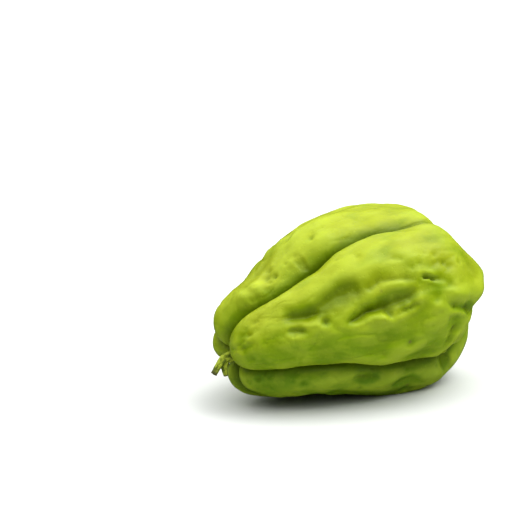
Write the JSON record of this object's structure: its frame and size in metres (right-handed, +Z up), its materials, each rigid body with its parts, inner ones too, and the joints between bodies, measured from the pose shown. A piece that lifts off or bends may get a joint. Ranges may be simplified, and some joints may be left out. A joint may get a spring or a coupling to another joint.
{
  "type": "chayote squash",
  "caption": "Whole chayote squash lying on its side: a pear-shaped green fruit with deep furrows, wrinkled lobes and a short cut stem.",
  "frame": {"origin": "the point of the surface it lies on that is under the middle of its bounding box", "axes": "+X along the fruit towards its wide blossom end, +Z up, so that -X is the stem end and -Y is the side with the front lobe"},
  "size_m": [0.1308, 0.0886, 0.0791],
  "materials": {
    "skin": "waxy light green skin with a soft sheen, yellower on the crests and darker in the furrows",
    "stem": "ridged fibrous green stem, grey-brown and dry at its cut end"
  },
  "bodies": {
    "root": {"fruit": "skin", "stem": "stem"}
  },
  "joints": []
}
